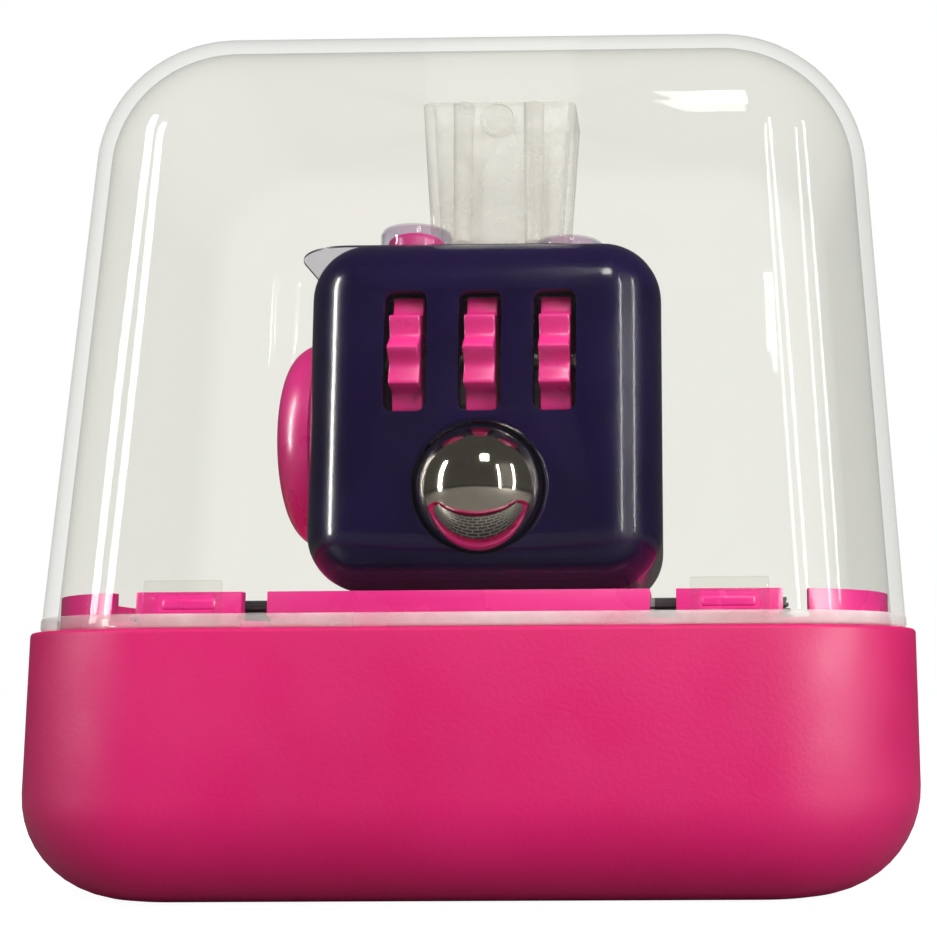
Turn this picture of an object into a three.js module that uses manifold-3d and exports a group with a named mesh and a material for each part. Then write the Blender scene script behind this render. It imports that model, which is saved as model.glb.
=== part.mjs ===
// A six-sided fidget cube standing in its retail display case: a tub with a deck, a clear lid and
// the cube itself with every control and the mechanism behind it. Millimetres, +Z up, front at -Y.
// The origin is at the centre of the case's underside.
import * as THREE from "three";
import { mergeVertices } from "three/addons/utils/BufferGeometryUtils.js";
import { RoundedBoxGeometry } from "three/addons/geometries/RoundedBoxGeometry.js";
import Module from "manifold-3d";

const wasm = await Module();
wasm.setup();

// ---- driving dimensions ----
const CUBE = 33; // edge length over the faces
const CUBE_ROUND = 5.5; // radius of the rounded edges
const WALL = 1.8; // moulded wall of the cube
const FACE = CUBE / 2; // distance from the cube's centre to a face
const INNER = FACE - WALL; // distance from the cube's centre to the inside of a wall

const CASE_HALF_X = 38.5;
const CASE_HALF_Y = 29.5;
const CASE_CORNER = 14; // plan radius of the tub's corners
const CASE_WALL = 1.6;
const TUB_ROUND = 9; // radius round the tub's underside
const RIM_Z = 22.2; // top of the tub
const LIP_HEIGHT = 3; // upstanding lip that locates the lid
const DECK_Z = RIM_Z + 0.6; // top of the deck plate
const PEDESTAL_Z = 26.05; // the cube stands here
const LID_TOP = 77.6;
const LID_WALL = 1.2;
const LID_ROUND = 12.6; // radius round the lid's top edge
const LID_DRAFT = Math.tan((2.6 * Math.PI) / 180); // the lid narrows upwards for release

const GEAR_PITCH = 6.8; // spacing of the three toothed rollers
const GEAR_MEAN_RADIUS = 5.7;
const GEAR_WAVE = 0.5; // half the height of a tooth
const GEAR_TEETH = 12;
const GEAR_WIDTH = 2.8;
const GEAR_Z = 5.1; // height of the rollers' axle over the cube's centre
const GEAR_PROUD = 1.3; // how far the rollers stand out of the face
const GEAR_Y = -FACE - GEAR_PROUD + GEAR_MEAN_RADIUS + GEAR_WAVE;
const AXLE_RADIUS = 1;

const BALL_RADIUS = 6.1;
const BALL_Z = -7.4;
const BALL_Y = -14.3;

const DIAL_RADIUS = 10.6;
const DIAL_HEIGHT = 4.2;
const DIAL_EDGE = 3; // radius of the dial's rounded edge
const DIAL_Z = -0.8; // the dial sits a little below the middle of its face
const BUTTON_RADIUS = 2.8;
const BUTTON_HEIGHT = 2.4; // the three clicking buttons
const SILENT_HEIGHT = 1.1; // the two silent buttons
const BUTTON_PITCH = 7.5; // corner buttons stand this far from the centre on both axes
const STICK_RADIUS = 7.5;
const STICK_HEIGHT = 3.2;
const STICK_TRAVEL = 1.6;
const ROCKER_TILT = (10 * Math.PI) / 180;

const PURPLE = { color: 0x1b0d3f, roughness: 0.3, metalness: 0 };
const PINK = { color: 0xd81b7a, roughness: 0.35, metalness: 0 };
const CLEAR = { color: 0xe8eef0, roughness: 0.05, metalness: 0 };
const WHITE = { color: 0xe9e7e2, roughness: 0.5, metalness: 0 };
const STEEL = { color: 0xb9b7b2, roughness: 0.15, metalness: 1 };
const SILICONE = { color: 0xcfcfcf, roughness: 0.8, metalness: 0 };
const PAPER = { color: 0x2a2a2e, roughness: 0.7, metalness: 0 };

// ---- solids ----
function solid(geometry) {
  const plain = geometry.index ? geometry.toNonIndexed() : geometry.clone();
  plain.deleteAttribute("normal");
  plain.deleteAttribute("uv");
  const merged = mergeVertices(plain, 1e-4);
  return new wasm.Manifold(
    new wasm.Mesh({
      numProp: 3,
      vertProperties: Float32Array.from(merged.attributes.position.array),
      triVerts: Uint32Array.from(merged.index.array),
    }),
  );
}

function geometryOf(manifold) {
  const mesh = manifold.getMesh();
  const geometry = new THREE.BufferGeometry();
  geometry.setAttribute("position", new THREE.BufferAttribute(mesh.vertProperties, 3));
  geometry.setIndex(new THREE.BufferAttribute(mesh.triVerts, 1));
  return geometry;
}

const unite = (...solids) => solids.reduce((sum, next) => sum.add(next));
const moved = (geometry, x, y, z) => solid(geometry.translate(x, y, z));

function box(sizeX, sizeY, sizeZ, x, y, z) {
  return moved(new THREE.BoxGeometry(sizeX, sizeY, sizeZ), x, y, z);
}

// A solid of revolution about Z from [radius, height] pairs listed from the bottom up.
function turned(profile, sides = 32) {
  return new THREE.LatheGeometry(
    profile.map(([r, h]) => new THREE.Vector2(r, h)),
    sides,
  ).rotateX(Math.PI / 2);
}

// Turns a piece made along +Z so that +Z points out of one of the cube's faces.
const FACING = {
  top: (g) => g,
  bottom: (g) => g.rotateX(Math.PI),
  front: (g) => g.rotateX(Math.PI / 2),
  back: (g) => g.rotateX(-Math.PI / 2),
  left: (g) => g.rotateY(-Math.PI / 2),
  right: (g) => g.rotateY(Math.PI / 2),
};

function rod(radius, length, sides = 24) {
  return turned(
    [
      [0, 0],
      [radius, 0],
      [radius, length],
      [0, length],
    ],
    sides,
  );
}

function tubeProfile(inner, outer, length) {
  return [
    [inner, 0],
    [outer, 0],
    [outer, length],
    [inner, length],
    [inner, 0],
  ];
}

// A helical spring along +Z, wound from round wire.
function spring(radius, wire, length, turns) {
  class Helix extends THREE.Curve {
    getPoint(t, target = new THREE.Vector3()) {
      const angle = 2 * Math.PI * turns * t;
      const rise = wire + (length - 2 * wire) * t;
      return target.set(radius * Math.cos(angle), radius * Math.sin(angle), rise);
    }
  }
  const section = new THREE.Shape().absarc(0, 0, wire / 2, 0, 2 * Math.PI);
  return new THREE.ExtrudeGeometry(section, {
    steps: Math.round(turns * 8),
    curveSegments: 2,
    extrudePath: new Helix(),
  });
}

// Points round a rectangle with round corners, anticlockwise.
function roundedOutline(halfX, halfY, radius, perCorner) {
  const points = [];
  for (let corner = 0; corner < 4; corner++) {
    const sideX = corner === 0 || corner === 3 ? 1 : -1;
    const sideY = corner < 2 ? 1 : -1;
    for (let i = 0; i <= perCorner; i++) {
      const angle = (corner + i / perCorner) * (Math.PI / 2);
      points.push([
        sideX * (halfX - radius) + radius * Math.cos(angle),
        sideY * (halfY - radius) + radius * Math.sin(angle),
      ]);
    }
  }
  return points;
}

// A closed skin over rounded-rectangle levels { z, halfX, halfY, radius } listed from the bottom up.
function lofted(levels, perCorner = 5) {
  const rings = levels.map((l) => roundedOutline(l.halfX, l.halfY, l.radius, perCorner));
  const count = rings[0].length;
  const positions = [];
  rings.forEach((ring, k) => ring.forEach(([x, y]) => positions.push(x, y, levels[k].z)));
  const index = [];
  for (let k = 0; k + 1 < rings.length; k++)
    for (let i = 0; i < count; i++) {
      const a = k * count + i;
      const b = k * count + ((i + 1) % count);
      index.push(a, b, b + count, a, b + count, a + count);
    }
  const bottom = positions.length / 3;
  positions.push(0, 0, levels[0].z);
  positions.push(0, 0, levels.at(-1).z);
  const top = (rings.length - 1) * count;
  for (let i = 0; i < count; i++) {
    const j = (i + 1) % count;
    index.push(bottom, j, i, bottom + 1, top + i, top + j);
  }
  const geometry = new THREE.BufferGeometry();
  geometry.setAttribute("position", new THREE.Float32BufferAttribute(positions, 3));
  geometry.setIndex(index);
  return geometry;
}

// Levels of a tub from its underside to height top, rounded under its edge.
function tubLevels(inset, floor, top) {
  const round = TUB_ROUND - inset;
  const steps = 5;
  const levels = [];
  for (let i = 0; i <= steps; i++) {
    const angle = (i / steps) * (Math.PI / 2);
    const inward = inset + round * (1 - Math.sin(angle));
    levels.push({
      z: floor + round * (1 - Math.cos(angle)),
      halfX: CASE_HALF_X - inward,
      halfY: CASE_HALF_Y - inward,
      radius: CASE_CORNER - inward,
    });
  }
  levels.push({ ...levels.at(-1), z: top });
  return levels;
}

// Levels of the lid, drafted inwards as it rises and rounded over its top edge.
function lidLevels(inset, bottom) {
  const top = LID_TOP - inset;
  const round = LID_ROUND - inset;
  const seat = 0.8 + inset; // the lid's skirt stands this far inside the tub's outside
  const steps = 5;
  const at = (z, inward) => ({
    z,
    halfX: CASE_HALF_X - seat - LID_DRAFT * (z - RIM_Z) - inward,
    halfY: CASE_HALF_Y - seat - LID_DRAFT * (z - RIM_Z) - inward,
    radius: CASE_CORNER - seat - inward * 0.9,
  });
  const levels = [at(bottom, 0)];
  for (let i = 0; i <= steps; i++) {
    const angle = (i / steps) * (Math.PI / 2);
    levels.push(at(top - round + round * Math.sin(angle), round * (1 - Math.cos(angle))));
  }
  return levels;
}

const group = new THREE.Group();

function add(name, manifold, finish, lift = 0) {
  const mesh = new THREE.Mesh(geometryOf(manifold), new THREE.MeshStandardMaterial(finish));
  mesh.name = name;
  mesh.position.z = lift;
  group.add(mesh);
}

const buttonSpots = [
  [-1, -1],
  [1, -1],
  [0, 0],
  [-1, 1],
  [1, 1],
].map(([x, y]) => [x * BUTTON_PITCH, y * BUTTON_PITCH]);
const isSilent = (i) => i % 2 === 1;

// ---- display case ----
const LIP_OUT = LID_WALL + 0.8 + 0.3; // the lip's outside, measured in from the tub's outside
const LIP_WALL = 1.2;
const HOOK_X = 21.7; // snap hooks stand this far from the centre
const HOOK_WIDTH = 5.8;
const TAB_HALF = 4.3; // half the width of the lip segment behind a hook
const PEDESTAL_HALF_X = 15.4;
const LEDGE_Z = RIM_Z - 3;
const RECESS_DEPTH = 3; // the rocker under the cube hangs in a recess in the stand

function caseBase() {
  const outer = solid(lofted(tubLevels(0, 0, RIM_Z)));
  const inner = solid(lofted(tubLevels(CASE_WALL, CASE_WALL, RIM_Z + 1)));
  const ledges = [];
  for (const side of [-1, 1]) ledges.push(box(4, 24, 2, side * (CASE_HALF_X - 2.8), 0, LEDGE_Z - 1));
  const tub = outer.subtract(inner);
  return unite(tub, ...ledges.map((ledge) => ledge.intersect(outer)));
}

// A prism with the tub's outline, set in from the tub's outside, between two heights.
function insetBlock(inset, bottom, top) {
  const outline = {
    halfX: CASE_HALF_X - inset,
    halfY: CASE_HALF_Y - inset,
    radius: CASE_CORNER - inset,
  };
  return solid(lofted([bottom, top].map((z) => ({ z, ...outline }))));
}

function deck() {
  const lipTop = RIM_Z + LIP_HEIGHT;
  const plate = insetBlock(LIP_OUT, LEDGE_Z + 0.1, DECK_Z);
  const under = box(60, 42, 2, 0, 0, LEDGE_Z + 0.6);
  const ring = insetBlock(LIP_OUT, DECK_Z - 0.5, lipTop);
  let lip = ring.subtract(insetBlock(LIP_OUT + LIP_WALL, DECK_Z - 1, lipTop + 1));
  for (const side of [-1, 1])
    for (const x of [PEDESTAL_HALF_X + 1, HOOK_X + TAB_HALF + 1.1])
      lip = lip.subtract(box(2.1, 2 * CASE_HALF_Y, LIP_HEIGHT, side * x, 0, DECK_Z + LIP_HEIGHT / 2));
  const height = PEDESTAL_Z - DECK_Z + 1;
  const stand = box(2 * PEDESTAL_HALF_X, 30.4, height, 0, 0, PEDESTAL_Z - height / 2);
  const pedestal = stand.subtract(box(15, 8, 2 * RECESS_DEPTH, 0, 0, PEDESTAL_Z));
  const catches = [];
  for (const sideX of [-1, 1])
    for (const sideY of [-1, 1]) {
      const y = sideY * (CASE_HALF_Y - LIP_OUT - 0.3);
      catches.push(box(4.4, 0.9, 0.9, sideX * HOOK_X, y, RIM_Z + 2));
    }
  return unite(plate.subtract(under), lip, pedestal, ...catches);
}

// The hold-down post is moulded with the lid: a tapering pocket with two half-round flutes front and
// back, open through the lid's top and closed at its foot.
const POST_TOP_X = 7.9;
const POST_FOOT_X = 6.9;
const POST_HALF_Y = 4.2;
const FLUTE_X = 3.6;
const FILM_LIFT = BUTTON_HEIGHT + 0.1; // underside of the film over the cube's top face
const FILM_THICK = 0.25;
const POST_FOOT_Z = PEDESTAL_Z + CUBE + FILM_LIFT + FILM_THICK + 0.1;

function postBlock(inset, bottom, top) {
  const halfY = POST_HALF_Y - inset;
  const foot = { z: bottom, halfX: POST_FOOT_X - inset, halfY: halfY - 0.5, radius: 1 };
  const head = { z: top, halfX: POST_TOP_X - inset, halfY, radius: 1 };
  return solid(lofted([foot, head], 2));
}

function postFlutes(bottom, top) {
  const flutes = [];
  for (const sideX of [-1, 1])
    for (const sideY of [-1, 1]) {
      const flute = new THREE.CylinderGeometry(1.1, 0.9, top - bottom, 8).rotateX(Math.PI / 2);
      const y = sideY * (POST_HALF_Y - 0.2);
      flutes.push(moved(flute, sideX * FLUTE_X, y, (top + bottom) / 2));
    }
  return unite(...flutes);
}

function lid() {
  const bottom = RIM_Z + 0.1;
  const inside = solid(lofted(lidLevels(LID_WALL, bottom - 1)));
  const shell = solid(lofted(lidLevels(0, bottom))).subtract(inside);
  const top = LID_TOP - 0.6;
  const post = postBlock(0, POST_FOOT_Z, top).add(postFlutes(POST_FOOT_Z, top));
  const pocket = postBlock(0.8, POST_FOOT_Z + 0.8, LID_TOP + 2);
  const windows = [];
  for (const sideX of [-1, 1])
    for (const sideY of [-1, 1]) {
      const y = sideY * (CASE_HALF_Y - 1.6);
      windows.push(box(HOOK_WIDTH - 1, 3.4, 1.5, sideX * HOOK_X, y, RIM_Z + 2));
    }
  return windows.reduce((sum, window) => sum.subtract(window), unite(shell, post).subtract(pocket));
}

// A thin sheet laid flat on the cube's top face and formed into a blister over each button. It
// overhangs the cube's left edge.
const FILM_REST = 0.15; // underside of the flat part over the cube's top face
function film() {
  const [left, right, front, back] = [-19, 12, -11.2, 13];
  const outline = { halfX: (right - left) / 2, halfY: (back - front) / 2, radius: 5.5 };
  const sheet = solid(lofted([FILM_REST, FILM_REST + FILM_THICK].map((z) => ({ z, ...outline }))));
  let formed = sheet.translate([(right + left) / 2, (back + front) / 2, 0]);
  const spots = buttonSpots.map(([x, y], i) => [x, y, isSilent(i) ? SILENT_HEIGHT : BUTTON_HEIGHT]);
  for (const [x, y, proud] of spots) {
    const blister = rod(3.4, proud + 0.1 + FILM_THICK - FILM_REST, 20);
    formed = formed.add(moved(blister, x, y, FILM_REST));
  }
  for (const [x, y, proud] of spots)
    formed = formed.subtract(moved(rod(3.15, proud + 0.1 + 1, 20), x, y, -1));
  return formed.translate([0, 0, PEDESTAL_Z + CUBE]);
}

add("case_base", caseBase(), PINK);
add("case_deck", deck(), PINK);
add("clear_lid", lid(), CLEAR);
add("cover_film", film(), CLEAR);
add("leaflet", box(54, 8.6, 1.8, 0, -20.8, DECK_Z + 0.95), PAPER);

// ---- cube ----
const CENTRE_Z = PEDESTAL_Z + FACE + 0.05; // the cube's centre over the table
const addCube = (name, manifold, finish) => add(name, manifold, finish, CENTRE_Z);
const onFace = (geometry, face, x = 0, y = 0, z = 0) => moved(FACING[face](geometry), x, y, z);

const PANEL_HALF = 11.6; // half the width of the breathe panel
const PANEL_THICK = 2.3;
const SLOT_WIDTH = 3.9;
const SLOT_HEIGHT = 11.2;
const BOSS_X = 12.2;
const BOSS_Y = 11.4;
const BOSS_FOOT = 2;
const ROCKER_WIDTH = 5;
const BOARD_Z = 11.5; // underside of the board below the click buttons
const GLIDE_RECESS = 10.1; // radius of the shallow recess that the thumb disc slides in

function cubeShell() {
  const outer = solid(new RoundedBoxGeometry(CUBE, CUBE, CUBE, 3, CUBE_ROUND));
  const inside = 2 * INNER;
  const cavity = solid(new RoundedBoxGeometry(inside, inside, inside, 2, CUBE_ROUND - WALL));
  const bosses = [-1, 1].map((side) =>
    onFace(rod(1.6, INNER + 0.5 - BOSS_FOOT, 12), "top", side * BOSS_X, BOSS_Y, BOSS_FOOT),
  );
  const shell = unite(outer.subtract(cavity), ...bosses.map((boss) => boss.intersect(outer)));
  const cuts = [];
  for (const k of [-1, 0, 1]) {
    const slot = new RoundedBoxGeometry(SLOT_WIDTH, 8, SLOT_HEIGHT, 1, 0.9);
    cuts.push(moved(slot, k * GEAR_PITCH, -FACE, GEAR_Z));
  }
  const collar = [
    [0, 10],
    [6.55, 10],
    [6.45, 14.6],
    [6, 16.1],
    [6.35, 16.6],
    [6.35, 18],
    [0, 18],
  ];
  cuts.push(onFace(turned(collar, 28), "front", 0, 0, BALL_Z));
  cuts.push(onFace(rod(3.2, 6), "left", -FACE + 3, 0, DIAL_Z));
  for (const [x, y] of buttonSpots) cuts.push(onFace(rod(2.95, 6, 16), "top", x, y, FACE - 3));
  cuts.push(onFace(rod(5, 6), "back", 0, FACE - 3, 0));
  cuts.push(onFace(rod(GLIDE_RECESS, 2, 32), "back", 0, FACE - 0.7, 0));
  cuts.push(box(13, ROCKER_WIDTH + 0.6, 8, 0, 0, -FACE));
  for (const side of [-1, 1])
    cuts.push(onFace(rod(0.7, 9, 10), "top", side * BOSS_X, BOSS_Y, BOSS_FOOT - 1));
  cuts.push(panelBlock(PANEL_HALF, INNER - 1, FACE + 1));
  return cuts.reduce((sum, cut) => sum.subtract(cut), shell);
}

// A square block with rounded corners that reaches out through the right-hand face.
function panelBlock(half, inner, outer) {
  const level = (z) => ({ z, halfX: half, halfY: half, radius: 2.2 });
  return onFace(lofted([level(inner), level(outer)], 3), "right");
}

// The worry-stone face: a panel let into the right-hand face, dished by an oval thumb hollow.
function breathePanel() {
  const plate = panelBlock(PANEL_HALF - 0.15, FACE - PANEL_THICK, FACE);
  const hollow = new THREE.SphereGeometry(1, 20, 12).scale(1.6, 6.6, 8.5);
  const pegs = [];
  for (const y of [-1, 1])
    for (const z of [-1, 1])
      pegs.push(onFace(rod(1.1, 3, 8), "right", FACE - PANEL_THICK - 2.4, y * 8.2, z * 8.2));
  return unite(plate.subtract(moved(hollow, FACE + 0.1, 0, 0)), ...pegs);
}

// Carrier behind the roll face: cheeks for the rollers' axle, a tube for the ball's cup and ears
// that are screwed to the shell's bosses.
const CHEEK_X = 10;
const SLEEVE_FRONT = -9.4;
const SLEEVE_BACK = -4.4;
const CUP_RADIUS = 5.4;
const SLEEVE_RADIUS = CUP_RADIUS + 0.95;
const CUP_FRONT = BALL_Y + 2.7; // the cup's rim, just behind the ball's middle
const CUP_LENGTH = 4.4;
function mechanismFrame() {
  const cheeks = [-1, 1].map((side) => box(1.2, 9.2, 9, side * CHEEK_X, -9.4, GEAR_Z - 0.4));
  const back = box(2 * CHEEK_X + 1.2, 1, 6.6, 0, -4.3, GEAR_Z + 0.8);
  const tube = tubeProfile(CUP_RADIUS + 0.15, SLEEVE_RADIUS, SLEEVE_BACK - SLEEVE_FRONT + 0.2);
  const sleeve = onFace(turned(tube, 24), "back", 0, SLEEVE_FRONT, BALL_Z);
  const floor = onFace(rod(SLEEVE_RADIUS, 0.8), "back", 0, SLEEVE_BACK, BALL_Z);
  const web = box(13, 0.8, 10, 0, SLEEVE_BACK + 0.4, -1);
  const spine = box(3, 12.8, 2.4, 0, 2.6, -1);
  const prop = box(4, 3, 13, 0, 2, BOARD_Z - 6.7);
  const bridge = box(2 * BOSS_X + 3.2, 1.4, 2.4, 0, 8.9, -1);
  const risers = [-1, 1].map((side) => box(3.2, 1.4, 3.9, side * BOSS_X, 8.9, -0.05));
  const ears = [-1, 1].map((side) => box(3.2, 4.8, 1.4, side * BOSS_X, 10.6, 1.2));
  const body = unite(...cheeks, back, sleeve, floor, web, spine, prop, bridge, ...risers, ...ears);
  const axleBore = onFace(rod(AXLE_RADIUS + 0.05, 30), "right", -15, GEAR_Y, GEAR_Z);
  const screwBores = [-1, 1].map((side) =>
    onFace(rod(0.85, 4, 12), "top", side * BOSS_X, BOSS_Y, -0.5),
  );
  return [axleBore, ...screwBores].reduce((sum, cut) => sum.subtract(cut), body);
}

function frameScrew(side) {
  const profile = [
    [0, 0],
    [1.3, 0],
    [1.3, 0.7],
    [0.6, 0.75],
    [0.6, 6.4],
    [0, 7],
  ];
  return onFace(turned(profile, 10), "top", side * BOSS_X, BOSS_Y, -0.3);
}

addCube("cube_shell", cubeShell(), PURPLE);
addCube("breathe_panel", breathePanel(), PURPLE);
addCube("mechanism_frame", mechanismFrame(), WHITE);
addCube("frame_screw_left", frameScrew(-1), STEEL);
addCube("frame_screw_right", frameScrew(1), STEEL);

// ---- roll face: three toothed rollers and a ball ----
function roller(x) {
  const wave = new THREE.Shape();
  const steps = GEAR_TEETH * 4;
  for (let i = 0; i < steps; i++) {
    const angle = (2 * Math.PI * i) / steps;
    const radius = GEAR_MEAN_RADIUS + GEAR_WAVE * Math.cos(GEAR_TEETH * angle);
    const point = [radius * Math.cos(angle), radius * Math.sin(angle)];
    if (i) wave.lineTo(...point);
    else wave.moveTo(...point);
  }
  wave.holes.push(new THREE.Path().absarc(0, 0, AXLE_RADIUS + 0.06, 0, 2 * Math.PI, true));
  const disc = new THREE.ExtrudeGeometry(wave, { depth: GEAR_WIDTH, bevelEnabled: false, curveSegments: 8 });
  return moved(disc.rotateY(Math.PI / 2), x - GEAR_WIDTH / 2, GEAR_Y, GEAR_Z);
}

["left", "middle", "right"].forEach((place, i) => {
  addCube(`roller_${place}`, roller((i - 1) * GEAR_PITCH), PINK);
});
addCube("roller_axle", onFace(rod(AXLE_RADIUS, 21.4), "right", -10.7, GEAR_Y, GEAR_Z), STEEL);

// One pressed steel strip whose three fingers ride in the rollers' teeth and make them click.
function detentSpring() {
  const y = GEAR_Y + GEAR_MEAN_RADIUS + GEAR_WAVE + 0.27;
  const strip = box(2 * GEAR_PITCH + 2.4, 0.25, 1.8, 0, y, GEAR_Z + 2.8);
  const fingers = [-1, 0, 1].map((k) => box(1.8, 0.25, 4.6, k * GEAR_PITCH, y, GEAR_Z - 0.3));
  return unite(strip, ...fingers);
}
addCube("detent_spring", detentSpring(), STEEL);

function ballCup() {
  const body = onFace(rod(CUP_RADIUS, CUP_LENGTH), "back", 0, CUP_FRONT, BALL_Z);
  const seat = new THREE.SphereGeometry(BALL_RADIUS + 0.2, 20, 14);
  return body.subtract(moved(seat, 0, BALL_Y, BALL_Z));
}
const ball = new THREE.SphereGeometry(BALL_RADIUS, 24, 16).rotateZ(Math.PI / 2);
addCube("roll_ball", moved(ball, 0, BALL_Y, BALL_Z), STEEL);
addCube("ball_cup", ballCup(), WHITE);
const cupSpring = onFace(spring(2.6, 0.4, 2.7, 3), "back", 0, CUP_FRONT + CUP_LENGTH + 0.1, BALL_Z);
addCube("ball_spring", cupSpring, STEEL);

// ---- spin face: a domed dial on a clipped hub ----
function dial() {
  const rise = 0.25; // running gap under the dial
  const profile = [
    [0, -3.8],
    [3, -3.8],
    [3, -2.95],
    [2.4, -2.95],
    [2.4, -1.95],
    [3, -1.95],
    [3, rise],
    [DIAL_RADIUS - 0.3, rise],
  ];
  const steps = 5;
  for (let i = 0; i <= steps; i++) {
    const angle = (i / steps) * (Math.PI / 2);
    const height = rise + 0.35 + (DIAL_HEIGHT - 0.6) * Math.sin(angle);
    profile.push([DIAL_RADIUS - DIAL_EDGE + DIAL_EDGE * Math.cos(angle), height]);
  }
  profile.push([0, DIAL_HEIGHT]);
  const dimple = new THREE.SphereGeometry(5, 16, 12).translate(5.2, 0, DIAL_HEIGHT + 3.7);
  const body = onFace(turned(profile, 28), "left", -FACE, 0, DIAL_Z);
  return body.subtract(onFace(dimple, "left", -FACE, 0, DIAL_Z));
}
addCube("spin_dial", dial(), PINK);
const dialClip = turned(tubeProfile(2.5, 4.4, 0.7), 16);
addCube("dial_clip", onFace(dialClip, "left", -FACE + 2.8, 0, DIAL_Z), STEEL);

// ---- click face: five domed buttons, three over metal snap domes and two over silent rubber ones ----
function clickButton(x, y, proud) {
  const shoulder = FACE + proud - 1;
  const profile = [
    [0, INNER - 1.35],
    [3.5, INNER - 1.35],
    [3.5, INNER - 0.15],
    [BUTTON_RADIUS, INNER - 0.15],
    [BUTTON_RADIUS, shoulder],
  ];
  const steps = 3;
  for (let i = 1; i <= steps; i++) {
    const angle = (i / steps) * (Math.PI / 2);
    profile.push([BUTTON_RADIUS * Math.cos(angle), shoulder + Math.sin(angle)]);
  }
  return onFace(turned(profile, 14), "top", x, y);
}

function snapDome(x, y) {
  const foot = BOARD_Z + 0.55;
  const tall = INNER - 1.4 - foot;
  const profile = [
    [0, tall - 0.25],
    [1, tall - 0.25],
    [1.9, 0],
    [2.2, 0],
    [1.2, tall],
    [0, tall],
  ];
  return onFace(turned(profile, 10), "top", x, y, foot);
}

buttonSpots.forEach(([x, y], i) => {
  const silent = isSilent(i);
  const proud = silent ? SILENT_HEIGHT : BUTTON_HEIGHT;
  addCube(`click_button_${i + 1}`, clickButton(x, y, proud), PINK);
  addCube(`snap_dome_${i + 1}`, snapDome(x, y), silent ? SILICONE : STEEL);
});
addCube("button_board", box(20.6, 20.6, 0.5, 0, 0, BOARD_Z + 0.25), WHITE);

// ---- glide face: a sliding thumb disc held by a washer behind the wall ----
function glideDisc() {
  const profile = [
    [0, -3.9],
    [2, -3.9],
    [2, -3.15],
    [1.6, -3.15],
    [1.6, -2.35],
    [2, -2.35],
    [2, 0.2],
    [STICK_RADIUS - 0.6, 0.2],
    [STICK_RADIUS, 0.8],
    [STICK_RADIUS, STICK_HEIGHT - 0.5],
    [STICK_RADIUS - 0.6, STICK_HEIGHT],
    [STICK_RADIUS - 1.4, STICK_HEIGHT - 0.1],
    [3.4, STICK_HEIGHT - 0.8],
    [0, STICK_HEIGHT - 1],
  ];
  return onFace(turned(profile, 24), "back", 0, FACE - 0.7, 0);
}
const washerY = INNER - 1.15;
const washer = onFace(turned(tubeProfile(2.1, 7.2, 1), 24), "back", 0, washerY, 0);
const washerSlot = box(4.2, 3, 4.2 + 2 * STICK_TRAVEL, 0, washerY + 0.5, 0);
addCube("glide_disc", glideDisc(), PINK);
addCube("glide_washer", washer.subtract(washerSlot), WHITE);
addCube("glide_clip", onFace(turned(tubeProfile(1.75, 3.4, 0.6), 14), "back", 0, 12.75, 0), STEEL);
const returnRing = tubeProfile(2.2, 4.8, 1);
addCube("return_ring", onFace(turned(returnRing, 18), "back", 0, INNER + 0.1, 0), SILICONE);

// ---- flip face: a rocker on a pin, held over by a sprung plunger ----
// These pieces are made facing +X and turned down to the cube's underside together.
const turnedDown = (manifold) => manifold.rotate([0, 90, 0]);
const PIN_X = FACE - 2.6;
const ROCKER_HALF = 5.8;
function rocker() {
  const peak = 2.2;
  const shape = new THREE.Shape();
  shape.moveTo(-ROCKER_HALF, 0.6);
  shape.lineTo(-ROCKER_HALF + 0.4, 3.4);
  shape.lineTo(0, peak);
  shape.lineTo(ROCKER_HALF - 0.4, 3.4);
  shape.lineTo(ROCKER_HALF, 0.6);
  shape.lineTo(1.6, -1.6);
  shape.lineTo(0, -1.3);
  shape.lineTo(-1.6, -1.6);
  shape.closePath();
  const width = ROCKER_WIDTH;
  const block = new THREE.ExtrudeGeometry(shape, { depth: width, bevelEnabled: false });
  // The outline's X runs up the cube, its Y out of the face and its depth across the face.
  const basis = [new THREE.Vector3(0, 0, 1), new THREE.Vector3(1, 0, 0), new THREE.Vector3(0, 1, 0)];
  block.translate(0, 0, -width / 2).applyMatrix4(new THREE.Matrix4().makeBasis(...basis));
  const bore = onFace(rod(0.65, 10, 12), "back", PIN_X, -5, 0);
  return moved(block.rotateY(-ROCKER_TILT), PIN_X, 0, 0).subtract(bore);
}
const pinLength = ROCKER_WIDTH + 2;
const pin = onFace(rod(0.6, pinLength, 12), "back", PIN_X, -pinLength / 2, 0);
addCube("flip_rocker", turnedDown(rocker()), PINK);
addCube("rocker_pin", turnedDown(pin), STEEL);

function rockerBracket() {
  const reach = ROCKER_WIDTH / 2 + 0.6;
  const plate = box(0.8, 2 * reach + 0.6, 4.4, 8, 0, 0);
  const arms = [-1, 1].map((side) => box(6.6, 0.6, 3.6, 11.2, side * reach, 0));
  const guide = onFace(turned(tubeProfile(1.15, 1.9, 2), 16), "right", 8.2, 0, 0);
  const bore = onFace(rod(0.65, 12, 12), "back", PIN_X, -6, 0);
  const well = onFace(rod(1.15, 1.9, 16), "right", 8, 0, 0);
  return unite(plate, ...arms, guide).subtract(bore).subtract(well);
}
const plungerProfile = [
  [0, 0],
  [1, 0],
  [1, 1.2],
  [0, 2],
];
const plunger = onFace(turned(plungerProfile, 16), "right", 9.3);
const plungerSpring = onFace(spring(0.7, 0.25, 1.2, 3), "right", 8.05);
addCube("rocker_bracket", turnedDown(rockerBracket()), WHITE);
addCube("rocker_plunger", turnedDown(plunger), STEEL);
addCube("rocker_spring", turnedDown(plungerSpring), STEEL);

export default group;
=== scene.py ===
import math

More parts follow.
